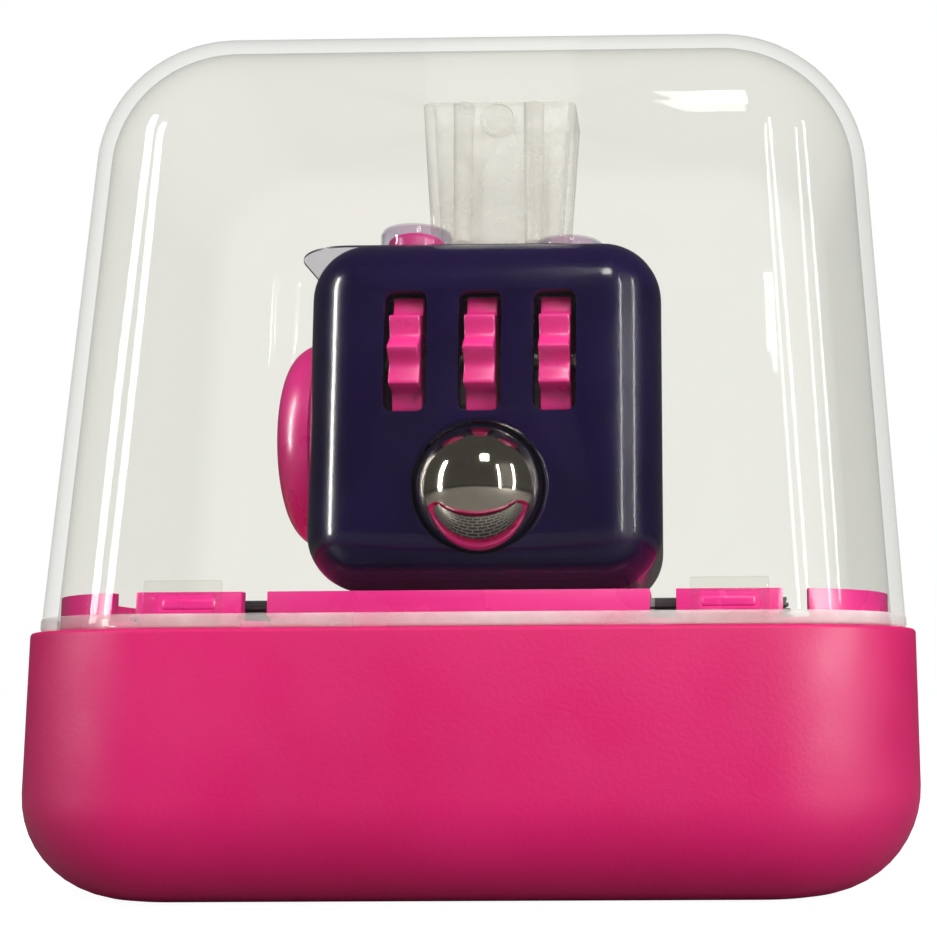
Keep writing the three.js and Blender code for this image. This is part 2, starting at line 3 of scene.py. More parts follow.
import bmesh
import bpy
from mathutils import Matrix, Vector


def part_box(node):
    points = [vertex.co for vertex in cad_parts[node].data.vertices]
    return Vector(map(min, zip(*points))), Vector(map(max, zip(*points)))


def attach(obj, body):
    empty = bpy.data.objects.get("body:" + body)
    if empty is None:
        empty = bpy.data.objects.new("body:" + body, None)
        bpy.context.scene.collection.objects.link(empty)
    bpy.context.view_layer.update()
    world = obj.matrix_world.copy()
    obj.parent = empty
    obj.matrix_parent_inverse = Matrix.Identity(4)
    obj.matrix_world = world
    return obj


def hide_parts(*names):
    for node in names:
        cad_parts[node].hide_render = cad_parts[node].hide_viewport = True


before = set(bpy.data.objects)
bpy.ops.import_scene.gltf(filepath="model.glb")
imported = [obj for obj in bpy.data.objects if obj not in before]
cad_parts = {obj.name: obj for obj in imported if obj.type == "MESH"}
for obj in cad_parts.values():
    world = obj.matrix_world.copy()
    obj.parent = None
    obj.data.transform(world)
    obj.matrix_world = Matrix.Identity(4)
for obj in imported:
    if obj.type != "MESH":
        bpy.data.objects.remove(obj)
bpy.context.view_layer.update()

MM = 0.001
CUBE_CENTRE = sum(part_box("cube_shell"), Vector()) / 2
# Half the cube's edge, in millimetres.
CUBE_HALF = 16.5


# ---------------------------------------------------------------- finishes
def colour(hexa):
    """An sRGB hex colour such as "#CF1C6C" as linear red, green, blue, alpha."""
    parts = [int(hexa[i : i + 2], 16) / 255 for i in (1, 3, 5)]
    linear = [c / 12.92 if c <= 0.04045 else ((c + 0.055) / 1.055) ** 2.4 for c in parts]
    return (*linear, 1)


def add_node(material, kind, settings=None, links=None):
    """Adds a node. Settings that name a socket set its value, others set a property; links feed sockets."""
    node = material.node_tree.nodes.new(kind)
    for name, value in (settings or {}).items():
        if isinstance(name, int) or name in node.inputs:
            node.inputs[name].default_value = value
        else:
            setattr(node, name, value)
    for name, source in (links or {}).items():
        material.node_tree.links.new(source, node.inputs[name])
    return node


def blank_material(name):
    material = bpy.data.materials.new(name)
    material.use_nodes = True
    material.node_tree.nodes.clear()
    return material


def mottled(material, position, low, high, size_mm):
    """Two close colours drifting into each other over patches of a real size."""
    patches = add_node(
        material, "ShaderNodeTexNoise", {"Scale": 1000 / size_mm, "Detail": 3.0}, {"Vector": position}
    )
    ramp = add_node(material, "ShaderNodeValToRGB", {}, {"Fac": patches.outputs["Fac"]})
    ramp.color_ramp.elements[0].position = 0.35
    ramp.color_ramp.elements[1].position = 0.65
    ramp.color_ramp.elements[0].color = colour(low)
    ramp.color_ramp.elements[1].color = colour(high)
    return ramp.outputs["Color"]


def moulded(name, low, high, patch_mm, rough, grain_mm, grain_depth_mm, metal=0.0, coat=0.0, shine=0.5):
    """A moulded or ground surface: mottled colour, fine grain in the relief and a little uneven gloss."""
    material = blank_material(name)
    position = add_node(material, "ShaderNodeTexCoord").outputs["Object"]
    base = mottled(material, position, low, high, patch_mm)
    grain = add_node(
        material, "ShaderNodeTexNoise", {"Scale": 1000 / grain_mm, "Detail": 2.0}, {"Vector": position}
    )
    relief = add_node(
        material,
        "ShaderNodeBump",
        {"Strength": 0.6, "Distance": grain_depth_mm * MM},
        {"Height": grain.outputs["Fac"]},
    )
    handling = add_node(
        material, "ShaderNodeTexNoise", {"Scale": 1000 / 6.0, "Detail": 4.0}, {"Vector": position}
    )
    gloss = add_node(
        material,
        "ShaderNodeMapRange",
        {"From Min": 0.3, "From Max": 0.7, "To Min": rough * 0.85, "To Max": rough * 1.2},
        {"Value": handling.outputs["Fac"]},
    )
    shader = add_node(
        material,
        "ShaderNodeBsdfPrincipled",
        {"Metallic": metal, "Coat Weight": coat, "Coat Roughness": 0.08, "Specular IOR Level": shine},
        {"Base Color": base, "Roughness": gloss.outputs["Result"], "Normal": relief.outputs["Normal"]},
    )
    add_node(material, "ShaderNodeOutputMaterial", {}, {"Surface": shader.outputs["BSDF"]})
    return material


def clear_sheet(name, tint, haze, edge, rough):
    """Clear plastic in a thin wall: light passes straight through, with more gloss towards its edges."""
    material = blank_material(name)
    position = add_node(material, "ShaderNodeTexCoord").outputs["Object"]
    facing = add_node(material, "ShaderNodeLayerWeight", {"Blend": 0.5}).outputs["Facing"]
    steep = add_node(material, "ShaderNodeMath", {"operation": "POWER", 1: 4.0}, {0: facing})
    gloss_share = add_node(
        material, "ShaderNodeMath", {"operation": "MULTIPLY_ADD", 1: edge, 2: 0.014}, {0: steep.outputs[0]}
    )
    see_through = add_node(material, "ShaderNodeBsdfTransparent", {"Color": colour(tint)})
    ripple = add_node(
        material, "ShaderNodeTexNoise", {"Scale": 1000 / 14.0, "Detail": 1.0}, {"Vector": position}
    )
    flow = add_node(
        material,
        "ShaderNodeBump",
        {"Strength": 0.25, "Distance": 0.15 * MM},
        {"Height": ripple.outputs["Fac"]},
    )
    gloss = add_node(
        material, "ShaderNodeBsdfGlossy", {"Roughness": rough}, {"Normal": flow.outputs["Normal"]}
    )
    clear = add_node(
        material,
        "ShaderNodeMixShader",
        {},
        {0: gloss_share.outputs[0], 1: see_through.outputs[0], 2: gloss.outputs[0]},
    )
    # Rubbing leaves fine scuffs that catch the light as a thin milky veil.
    scuffs = add_node(
        material, "ShaderNodeTexNoise", {"Scale": 1000 / 9.0, "Detail": 8.0}, {"Vector": position}
    )
    veil = add_node(
        material,
        "ShaderNodeMapRange",
        {"From Min": 0.35, "From Max": 0.75, "To Min": haze * 0.5, "To Max": haze * 1.6},
        {"Value": scuffs.outputs["Fac"]},
    )
    milky = add_node(material, "ShaderNodeBsdfDiffuse", {"Color": colour("#F2F1EE")})
    mixed = add_node(
        material,
        "ShaderNodeMixShader",
        {},
        {0: veil.outputs["Result"], 1: clear.outputs[0], 2: milky.outputs[0]},
    )
    add_node(material, "ShaderNodeOutputMaterial", {}, {"Surface": mixed.outputs[0]})
    return material


# ABS from a spark-eroded mould: an even fine texture that spreads highlights into a satin sheen.
CASE_ABS = moulded("textured_magenta_abs", "#C4105C", "#CC1263", 18, 0.5, 0.35, 0.03, shine=0.18)
# The same ABS from a polished part of the mould, so thin upstands look wetter; its pink is painted lighter
# than the tub's, painted light that makes them look brighter.
LIP_ABS_PAINTED_LIGHTER = moulded("polished_magenta_abs_painted_lighter", "#EA2A8C", "#F03294", 12, 0.26, 0.6, 0.008)
# Polished ABS, nearly black with violet in it.
SHELL_ABS = moulded("polished_purple_abs", "#120430", "#17073A", 9, 0.22, 0.5, 0.006, coat=0.4, shine=0.22)
# Tumbled ABS controls: smooth, a little softer than the shell.
CONTROL_ABS = moulded("tumbled_pink_abs", "#EA2A8A", "#F23694", 7, 0.3, 0.5, 0.01, coat=0.15)
# Acetal, naturally white and waxy.
ACETAL = moulded("white_acetal", "#DCDAD4", "#E8E6E1", 6, 0.4, 0.4, 0.01)
# Ground and polished bearing steel: warm grey mirror.
BALL_STEEL = moulded("polished_bearing_steel", "#B5AEA3", "#C2BBB0", 3, 0.07, 0.8, 0.0008, metal=1.0)
# Rolled spring steel, duller than the ball.
SPRING_STEEL = moulded("rolled_spring_steel", "#9A9894", "#B4B2AD", 2, 0.28, 0.3, 0.006, metal=1.0)
# Silicone rubber, dusty and matte.
SILICONE = moulded("silicone_rubber", "#B9B9B7", "#C8C8C5", 4, 0.7, 0.3, 0.015)
# Polystyrene lid: very clear, faintly warm and smoky through two walls.
STYRENE = clear_sheet("clear_polystyrene", "#FBFBF9", 0.0015, 0.28, 0.03)
# The thick post: more plastic to look through, so milkier.
POST_STYRENE = clear_sheet("thick_clear_polystyrene", "#FFFFFE", 0.34, 0.08, 0.05)
# The clear film where it is cut: light is trapped inside the sheet, so the edge reads as a dark line,
# painted here as painted shade in a dark colour.
FILM_EDGE_PAINTED_SHADE = moulded("cut_film_edge_painted_shade", "#2B2633", "#3A3442", 4, 0.35, 0.3, 0.004)
# PET film, thin and springy.
PET_FILM = clear_sheet("pet_film", "#F3F1F6", 0.01, 0.5, 0.04)


def printed_paper():
    """Coated leaflet paper, printed dark with rows of small pale type-like ticks that can't be read."""
    material = blank_material("coated_leaflet_paper")
    position = add_node(material, "ShaderNodeTexCoord").outputs["Object"]
    ticks = add_node(
        material,
        "ShaderNodeTexBrick",
        {
            "Scale": 1000.0,
            "Color1": colour("#2B2B30"),
            "Color2": colour("#3A3A40"),
            "Mortar": colour("#8E8E92"),
            "Mortar Size": 0.18,
            "Brick Width": 2.6,
            "Row Height": 1.1,
        },
        {"Vector": position},
    )
    fibres = add_node(material, "ShaderNodeTexNoise", {"Scale": 1000 / 0.4}, {"Vector": position})
    relief = add_node(
        material,
        "ShaderNodeBump",
        {"Strength": 0.3, "Distance": 0.02 * MM},
        {"Height": fibres.outputs["Fac"]},
    )
    shader = add_node(
        material,
        "ShaderNodeBsdfPrincipled",
        {"Roughness": 0.45},
        {"Base Color": ticks.outputs["Color"], "Normal": relief.outputs["Normal"]},
    )
    add_node(material, "ShaderNodeOutputMaterial", {}, {"Surface": shader.outputs["BSDF"]})
    return material


LEAFLET_PAPER = printed_paper()


# ---------------------------------------------------------------- working by hand
def select_only(active, *others):
    """Selects these pieces and nothing else, and makes the first one active."""
    bpy.ops.object.select_all(action="DESELECT")
    for piece in (active, *others):
        piece.select_set(True)
    bpy.context.view_layer.objects.active = active


def settle():
    """Puts the place, turn and size of the selected piece into its mesh."""
    bpy.ops.object.transform_apply(location=True, rotation=True, scale=True)


def primitive(kind, **settings):
    """Adds a primitive with nothing else selected, its place already in its mesh."""
    bpy.ops.object.select_all(action="DESELECT")
    getattr(bpy.ops.mesh, f"primitive_{kind}_add")(**settings)
    settle()
    return bpy.context.object


def block(low, high):
    """A box between two corners given in millimetres."""
    low, high = Vector(low) * MM, Vector(high) * MM
    return primitive("cube", size=1, location=(low + high) / 2, scale=high - low)


def pick(piece, mode, test):
    """In edit mode, selects the vertices, edges or faces that pass the test, and nothing else."""
    if piece.mode != "EDIT":
        bpy.ops.object.mode_set(mode="EDIT")
    bpy.ops.mesh.select_mode(type=mode)
    bpy.ops.mesh.select_all(action="DESELECT")
    mesh = bmesh.from_edit_mesh(piece.data)
    for part in {"VERT": mesh.verts, "EDGE": mesh.edges, "FACE": mesh.faces}[mode]:
        if test(part):
            part.select = True
    mesh.select_flush_mode()
    bmesh.update_edit_mesh(piece.data)


def leave(piece):
    bpy.ops.object.mode_set(mode="OBJECT")
    return piece


def along(axis):
    """A test for edges that run mostly along an axis."""
    def test(edge):
        run = edge.verts[1].co - edge.verts[0].co
        return abs(run[axis]) > 0.98 * run.length
    return test


def at_height(z_mm):
    """A test for edges or faces that lie level at a height."""
    return lambda part: all(abs(v.co.z - z_mm * MM) < 0.02 * MM for v in part.verts)


def round_edges(piece, test, radius_mm, segments):
    pick(piece, "EDGE", test)
    bpy.ops.mesh.bevel(offset=radius_mm * MM, segments=segments, affect="EDGES", clamp_overlap=False)
    return leave(piece)


def modify(piece, kind, **settings):
    """Adds a modifier and applies it."""
    select_only(piece)
    modifier = piece.modifiers.new(kind, kind)
    for name, value in settings.items():
        setattr(modifier, name, value)
    bpy.ops.object.modifier_apply(modifier=modifier.name)
    return piece


def cut(piece, *cutters):
    for cutter in cutters:
        modify(piece, "BOOLEAN", operation="DIFFERENCE", solver="EXACT", object=cutter)
        bpy.data.objects.remove(cutter)
    return piece


def soften(piece, radius_mm, segments=2, angle=35):
    """Breaks the sharp edges that a mould never leaves sharp."""
    return modify(
        piece,
        "BEVEL",
        width=radius_mm * MM,
        segments=segments,
        limit_method="ANGLE",
        angle_limit=math.radians(angle),
        use_clamp_overlap=True,
    )


def joined(first, *others):
    select_only(first, *others)
    bpy.ops.object.join()
    return first


def turned(profile, sides=64):
    """A turned solid along +Z: a filled circle extruded through [radius, height] steps in millimetres."""
    (radius, height), *rest = profile
    piece = primitive(
        "circle", vertices=sides, radius=radius * MM, fill_type="NGON", location=(0, 0, height * MM)
    )
    bpy.ops.object.mode_set(mode="EDIT")
    bpy.ops.mesh.select_all(action="SELECT")
    for next_radius, next_height in rest:
        rise = (next_height - height) * MM
        bpy.ops.mesh.extrude_region_move(TRANSFORM_OT_translate={"value": (0, 0, rise)})
        share = next_radius / radius
        bpy.ops.transform.resize(value=(share, share, 1), center_override=(0, 0, next_height * MM))
        radius, height = next_radius, next_height
    bpy.ops.mesh.select_all(action="SELECT")
    bpy.ops.mesh.normals_make_consistent(inside=False)
    return leave(piece)


FACING = {
    "top": (0, 0, 0),
    "front": (math.pi / 2, 0, 0),
    "back": (-math.pi / 2, 0, 0),
    "left": (0, -math.pi / 2, 0),
    "right": (0, math.pi / 2, 0),
}


def place(piece, facing, offset_mm=(0, 0, 0)):
    """Turns a piece made along +Z to point out of a face, and moves it from the cube's centre."""
    select_only(piece)
    piece.rotation_euler = FACING[facing]
    piece.location = CUBE_CENTRE + Vector(offset_mm) * MM
    settle()
    return piece


def finished(piece, name, body, nodes, material, smooth=35):
    """Names a piece, gives it its finish and sets it riding on its body in place of its CAD nodes."""
    select_only(piece)
    bpy.ops.object.shade_smooth_by_angle(angle=math.radians(smooth))
    piece.name = name
    piece.data.materials.clear()
    piece.data.materials.append(material)
    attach(piece, body)
    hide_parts(*nodes)
    return piece


# ---------------------------------------------------------------- display case
CASE_X, CASE_Y, CASE_CORNER = 38.5, 29.5, 14
RIM = 22.2
DECK_TOP = 22.8
LIP_TOP = 25.2
LIP_INSET = 2.3
# How far each side of the middle the gaps in the lip and the snap catches are.
LIP_GAPS = (16.45, 27.1)
CATCH_X = 21.7
STAND_TOP = 26.05
LID_X, LID_Y, LID_FOOT, LID_TOP = 37.7, 28.7, 22.3, 77.6
# Each snap window in the lid: half its width, and where it starts and ends in height.
WINDOW_HALF, WINDOW_FOOT, WINDOW_TOP = 2.4, 23.5, 24.95
# Half the post's width and depth at its foot and where it meets the lid.
POST_FOOT, POST_ROOT = (6.9, 3.7), (7.9, 4.2)
# Each button's place on the top face and how far it stands proud.
BUTTONS = [(-7.5, -7.5, 2.4), (7.5, -7.5, 1.1), (0, 0, 2.4), (-7.5, 7.5, 1.1), (7.5, 7.5, 2.4)]


def upright_block(inset, bottom, top, segments=16):
    """A block with the case's rounded plan, set in from its outside."""
    low, high = (inset - CASE_X, inset - CASE_Y, bottom), (CASE_X - inset, CASE_Y - inset, top)
    return round_edges(block(low, high), along(2), CASE_CORNER - inset, segments)


def make_tub():
    tub = upright_block(0, 0, RIM)
    pick(tub, "EDGE", at_height(0))
    bpy.ops.mesh.bevel(offset=9 * MM, segments=12, affect="EDGES", clamp_overlap=False)
    pick(tub, "FACE", at_height(RIM))
    bpy.ops.mesh.delete(type="ONLY_FACE")
    leave(tub)
    modify(tub, "SOLIDIFY", thickness=1.6 * MM, offset=-1, use_even_offset=True)
    soften(tub, 0.35, 3, 50)
    return finished(tub, "case_tub", "case", ["case_base"], CASE_ABS)


def make_deck():
    deck = upright_block(LIP_INSET, 19.3, LIP_TOP)
    cut(deck, upright_block(LIP_INSET + 1.2, DECK_TOP, LIP_TOP + 2))
    # The gaps stop just over the deck, because a cut level with it tears the deck's surface.
    gap_foot = DECK_TOP + 0.06
    for side in (-1, 1):
        for x in LIP_GAPS:
            cut(deck, block((side * x - 1.05, -30, gap_foot), (side * x + 1.05, 30, LIP_TOP + 1)))
            # The core pin that shapes each front gap leaves a well at its foot.
            cut(deck, block((side * x - 1.4, -27.4, 20.3), (side * x + 1.4, -26.4, 23.2)))
    soften(deck, 0.22, 2, 50)
    stand = soften(block((-15.4, -15.2, 22.4), (15.4, 15.2, STAND_TOP)), 0.5, 3)
    # A shallow lip round the stand's top keeps the cube square on it.
    pick(stand, "FACE", at_height(STAND_TOP))
    bpy.ops.mesh.inset(thickness=1.2 * MM)
    bpy.ops.mesh.inset(thickness=0.15 * MM, depth=-0.15 * MM)
    leave(stand)
    # The rocker under the cube hangs in this recess.
    cut(stand, block((-7.5, -4, STAND_TOP - 3), (7.5, 4, 27)))
    catches = []
    for x in (-CATCH_X, CATCH_X):
        for y in (-27.02, 27.02):
            catches.append(soften(block((x - 2.2, y - 0.33, 23.75), (x + 2.2, y + 0.33, 24.65)), 0.25, 3))
    moulding = joined(deck, stand, *catches)
    # The deck moulding's finish is painted lighter than the tub's: painted light on the same ABS.
    return finished(moulding, "case_deck_moulding", "case", ["case_deck"], LIP_ABS_PAINTED_LIGHTER)


def make_leaflet():
    foot = DECK_TOP + 0.1
    leaves = []
    for k in range(4):
        z = foot + 0.46 * k
        leaves.append(block((-27 + 0.3 * k, -25, z), (27 - 0.15 * k, -16.6 - 0.1 * k, z + 0.32)))
    # The folds along the front edge close the leaves in pairs.
    folds = []
    for k in range(2):
        z = foot + 0.2 + 0.92 * k
        folds.append(block((-26.7, -25, z), (26.5, -24.7, z + 0.4)))
    leaflet = soften(joined(*leaves, *folds), 0.08, 2)
    return finished(leaflet, "folded_leaflet", "case", ["leaflet"], LEAFLET_PAPER)


def make_lid():
    draft = math.tan(math.radians(2.6)) * (LID_TOP - LID_FOOT)
    lid = block((-LID_X, -LID_Y, LID_FOOT), (LID_X, LID_Y, LID_TOP))
    pick(lid, "FACE", at_height(LID_TOP))
    shrink = ((LID_X - draft) / LID_X, (LID_Y - draft) / LID_Y, 1)
    bpy.ops.transform.resize(value=shrink, center_override=(0, 0, LID_TOP * MM))
    leave(lid)
    round_edges(lid, along(2), 13.2, 20)
    pick(lid, "EDGE", at_height(LID_TOP))
    bpy.ops.mesh.bevel(offset=12.6 * MM, segments=20, affect="EDGES", clamp_overlap=False)
    pick(lid, "FACE", at_height(LID_FOOT))
    bpy.ops.mesh.delete(type="ONLY_FACE")
    leave(lid)
    modify(lid, "SOLIDIFY", thickness=1.2 * MM, offset=-1, use_even_offset=True)
    for x in (-CATCH_X, CATCH_X):
        for y in (-28, 28):
            cut(lid, window_block(x, y - 2, y + 2))
    cut(lid, tapered_post(0.8, 63, 80))
    soften(lid, 0.3, 3, 50)
    # The skirt's edge is rolled into a bead, and each snap window has a frame.
    bead = upright_block(0.75, LID_FOOT, LID_FOOT + 1.1)
    cut(bead, upright_block(2.05, LID_FOOT - 1, LID_FOOT + 3))
    frames = []
    for x in (-CATCH_X, CATCH_X):
        for side in (-1, 1):
            near, far = sorted((side * 28.35, side * 28.95))
            surround = block((x - 3.1, near, LID_FOOT + 0.3), (x + 3.1, far, 26))
            cut(surround, window_block(x, near - 1, far + 1))
            frames.append(soften(surround, 0.15, 2))
    soften(bead, 0.25, 3, 50)
    finished(bead, "clear_lid_bead", "lid", ["clear_lid"], POST_STYRENE)
    lid = joined(lid, *frames)
    return finished(lid, "clear_lid_shell", "lid", ["clear_lid"], STYRENE)


def window_block(x, near, far):
    """The space of one snap window, from near to far along Y."""
    return block((x - WINDOW_HALF, near, WINDOW_FOOT), (x + WINDOW_HALF, far, WINDOW_TOP))


def tapered_post(inset, bottom, top):
    """The post's block, narrower at its foot, with rounded upright edges."""
    foot_x, foot_y = [half - inset for half in POST_FOOT]
    root_x, root_y = [half - inset for half in POST_ROOT]
    post = block((-foot_x, -foot_y, bottom), (foot_x, foot_y, top))
    pick(post, "FACE", at_height(top))
    spread = (root_x / foot_x, root_y / foot_y, 1)
    bpy.ops.transform.resize(value=spread, center_override=(0, 0, top * MM))
    leave(post)
    return round_edges(post, along(2), 0.9, 5)


def make_post():
    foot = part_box("clear_lid")[1].z / MM - 15.7
    post = tapered_post(0, foot, 77)
    cut(post, tapered_post(0.8, foot + 0.8, 79))
    soften(post, 0.25, 2, 50)
    flutes = []
    for x in (-3.6, 3.6):
        for y in (-3.75, 3.75):
            flute = turned([[0.7, foot], [0.9, foot + 0.15], [1.1, 76.7]], 24)
            flute.location = (x * MM, y * MM, 0)
            settle()
            flutes.append(flute)
    # The gate leaves a low round boss high on the front.
    gate = turned([[1.9, 0], [1.9, 0.25], [1.6, 0.35], [1.5, 0.2]], 32)
    gate.rotation_euler = (math.pi / 2, 0, 0)
    gate.location = (0, -4.1 * MM, 75 * MM)
    settle()
    post = joined(post, *flutes, gate)
    return finished(post, "clear_lid_post", "lid", ["clear_lid"], POST_STYRENE)


def make_film():
    """A flat sheet on the cube's top, formed up over each button, with a cut edge painted dark as painted
    shade.
    """
    low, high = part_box("cover_film")
    rest, thick = low.z + 0.02 * MM, 0.2 * MM
    centre = ((low.x + high.x) / 2, (low.y + high.y) / 2, rest)
    film = primitive("plane", size=1, location=centre)
    pick(film, "VERT", lambda v: True)
    bpy.ops.transform.resize(value=(high.x - low.x, high.y - low.y, 1), center_override=centre)
    bpy.ops.mesh.bevel(offset=5.5 * MM, segments=12, affect="VERTICES")
    leave(film)
    holes = []
    for x, y, _ in BUTTONS:
        holes.append(place(turned([[3.28, 15], [3.28, 18]], 48), "top", (x, y, 0)))
    modify(film, "SOLIDIFY", thickness=thick, offset=1)
    blisters = []
    for x, y, proud in BUTTONS:
        crown = CUBE_HALF + proud + 0.12
        profile = [[3.36, CUBE_HALF + 0.12], [3.36, crown - 0.35], [3.2, crown - 0.05], [2.9, crown]]
        cap = turned(profile, 48)
        pick(cap, "FACE", lambda f: all(v.co.z < (CUBE_HALF + 0.13) * MM for v in f.verts))
        bpy.ops.mesh.delete(type="FACE")
        leave(cap)
        modify(cap, "SOLIDIFY", thickness=0.16 * MM, offset=1, use_even_offset=True)
        blisters.append(place(cap, "top", (x, y, 0)))
    cut(film, *holes)
    finished(joined(film, *blisters), "loose_cover_film", "film", ["cover_film"], PET_FILM)
    # The cut edge gets painted shade: a dark colour for the line that the trapped light makes.
    film.data.materials.append(FILM_EDGE_PAINTED_SHADE)
    middle = (Vector(low) + Vector(high)) / 2
    for face in film.data.polygons:
        outward = face.center - middle
        beyond = max(abs(outward.x) / (high.x - low.x), abs(outward.y) / (high.y - low.y))
        if abs(face.normal.z) < 0.5 and face.center.z < rest + thick and beyond > 0.4:
            face.material_index = 1
    return film


# ---------------------------------------------------------------- cube
ROLLERS = {"left": -6.8, "middle": 0, "right": 6.8}
ROLLER_TEETH = 12
BALL_RADIUS, BALL_Z = 6.1, -7.4
DIAL_Z = -0.8


def cube_block(low, high):
    """A box given from the cube's centre."""
    return place(block(low, high), "top")


def make_shell():
    corner, wall = 5.5, 1.8
    inner = CUBE_HALF - wall
    shell = cube_block((-CUBE_HALF,) * 3, (CUBE_HALF,) * 3)
    round_edges(shell, lambda e: True, corner, 14)
    hollow = round_edges(cube_block((-inner,) * 3, (inner,) * 3), lambda e: True, corner - wall, 6)
    slots = []
    for x in ROLLERS.values():
        slot = cube_block((x - 1.95, -20, -0.5), (x + 1.95, -13, 10.7))
        slots.append(round_edges(slot, along(1), 0.9, 5))
    collar = turned([[6.5, 10], [6.4, 14.6], [6, 16.05], [6, 16.2], [6.42, 16.6], [6.42, 20]], 96)
    recess = turned([[10.1, 15.8], [10.1, 20]], 96)
    throat = turned([[5, 10], [5, 20]], 64)
    hub = turned([[3.2, 10], [3.2, 20]], 48)
    window = round_edges(cube_block((-6.5, -2.8, -20), (6.5, 2.8, -12)), along(2), 0.8, 5)
    mouth = round_edges(cube_block((13.7, -11.6, -11.6), (20, 11.6, 11.6)), along(0), 2.2, 8)
    cut(shell, hollow, *slots)
    cut(shell, place(collar, "front", (0, 0, BALL_Z)), place(recess, "back"), place(throat, "back"))
    cut(shell, place(hub, "left", (0, 0, DIAL_Z)), window, mouth)
    for x, y, _ in BUTTONS:
        cut(shell, place(turned([[2.95, 12], [2.95, 20]], 40), "top", (x, y, 0)))
    soften(shell, 0.2, 3, 40)
    return finished(shell, "cube_body", "cube", ["cube_shell"], SHELL_ABS)


def make_panel():
    panel = round_edges(cube_block((14.2, -11.45, -11.45), (CUBE_HALF, 11.45, 11.45)), along(0), 2.1, 8)
    hollow = primitive("uv_sphere", segments=64, ring_count=32, radius=MM)
    pick(hollow, "VERT", lambda v: True)
    bpy.ops.transform.resize(value=(8.5, 6.6, 1.6), center_override=(0, 0, 0))
    leave(hollow)
    cut(panel, place(hollow, "right", (CUBE_HALF + 0.1, 0, 0)))
    soften(panel, 0.25, 3, 25)
    return finished(panel, "thumb_stone_panel", "cube", ["breathe_panel"], SHELL_ABS)


def spoke(vertex):
    """Which point of a roller's outline a vertex is, counted round from +X."""
    return round(math.atan2(vertex.co.y, vertex.co.x) * ROLLER_TEETH / math.pi)


def make_rollers():
    """A ring of points pulled out and in by turns, then rounded into teeth."""
    blank, crest, valley = 5.7, 7.22, 4.31
    for name, x in ROLLERS.items():
        wave = primitive("circle", vertices=2 * ROLLER_TEETH, radius=blank * MM, fill_type="NGON")
        for parity, radius in ((0, crest), (1, valley)):
            pick(wave, "VERT", lambda v: spoke(v) % 2 == parity)
            share = radius / blank
            bpy.ops.transform.resize(value=(share, share, 1), center_override=(0, 0, 0))
        leave(wave)
        modify(wave, "SUBSURF", levels=3, render_levels=3)
        modify(wave, "SOLIDIFY", thickness=2.8 * MM, offset=0)
        cut(wave, turned([[1.06, -3], [1.06, 3]], 40))
        soften(wave, 0.28, 3, 55)
        place(wave, "right", (x, -11.6, 5.1))
        nodes, body = [f"roller_{name}"], f"{name}_roller"
        finished(wave, f"toothed_roller_{name}", body, nodes, CONTROL_ABS)


def make_ball():
    ball = primitive("uv_sphere", segments=96, ring_count=64, radius=BALL_RADIUS * MM)
    # Lapping leaves a tiny flat at each pole.
    pick(ball, "VERT", lambda v: abs(v.co.z) > (BALL_RADIUS - 0.001) * MM)
    bpy.ops.transform.resize(value=(1, 1, 0.9995), center_override=(0, 0, 0))
    leave(ball)
    place(ball, "right", (0, -14.3, BALL_Z))
    return finished(ball, "polished_ball", "ball", ["roll_ball"], BALL_STEEL, 60)


def make_dial():
    profile = [[3, -3.8], [3, -2.95], [2.4, -2.95], [2.4, -1.95], [3, -1.95], [3, 0.25], [10.2, 0.25]]
    for step in range(13):
        angle = math.radians(90 * step / 12)
        profile.append([7.6 + 3 * math.cos(angle), 0.6 + 3.58 * math.sin(angle)])
    profile += [[3, 4.19], [0.4, 4.19]]
    dial = turned(profile, 96)
    # A round dimple off the middle is where a fingertip turns it.
    dimple = (5.2 * MM, 0, 7.9 * MM)
    cut(dial, primitive("uv_sphere", segments=48, ring_count=32, radius=5 * MM, location=dimple))
    soften(dial, 0.3, 3, 25)
    place(dial, "left", (-CUBE_HALF, 0, DIAL_Z))
    return finished(dial, "spinning_dial", "dial", ["spin_dial"], CONTROL_ABS)


def make_buttons():
    for i, (x, y, proud) in enumerate(BUTTONS, 1):
        shoulder = 15.5 + proud
        profile = [[3.5, 13.35], [3.5, 14.55], [2.8, 14.55], [2.8, shoulder]]
        for step in range(1, 8):
            angle = math.radians(90 * step / 8)
            profile.append([2.8 * math.cos(angle), shoulder + math.sin(angle)])
        profile.append([0.1, shoulder + 1])
        button = place(turned(profile, 40), "top", (x, y, 0))
        nodes, body = [f"click_button_{i}"], f"button_{i}"
        finished(button, f"domed_button_{i}", body, nodes, CONTROL_ABS)


def make_glide():
    profile = [[2, -3.9], [2, -3.15], [1.6, -3.15], [1.6, -2.35], [2, -2.35], [2, 0.2], [6.9, 0.2]]
    profile += [[7.3, 0.4], [7.5, 0.8], [7.5, 2.6], [7.35, 2.95], [6.95, 3.15], [6.5, 3.15], [6.1, 3]]
    # Three fine grip rings step down towards the thumb hollow.
    profile += [[5.6, 2.95], [5.5, 2.7], [5.1, 2.7], [5, 2.9], [4.5, 2.85], [4.4, 2.6], [4, 2.6]]
    profile += [[3.9, 2.75], [3.4, 2.6], [2.4, 2.35], [1.2, 2.22], [0.2, 2.2]]
    stick = place(turned(profile, 72), "back", (0, 15.8, 0))
    return finished(stick, "thumb_slider", "glide_stick", ["glide_disc"], CONTROL_ABS)


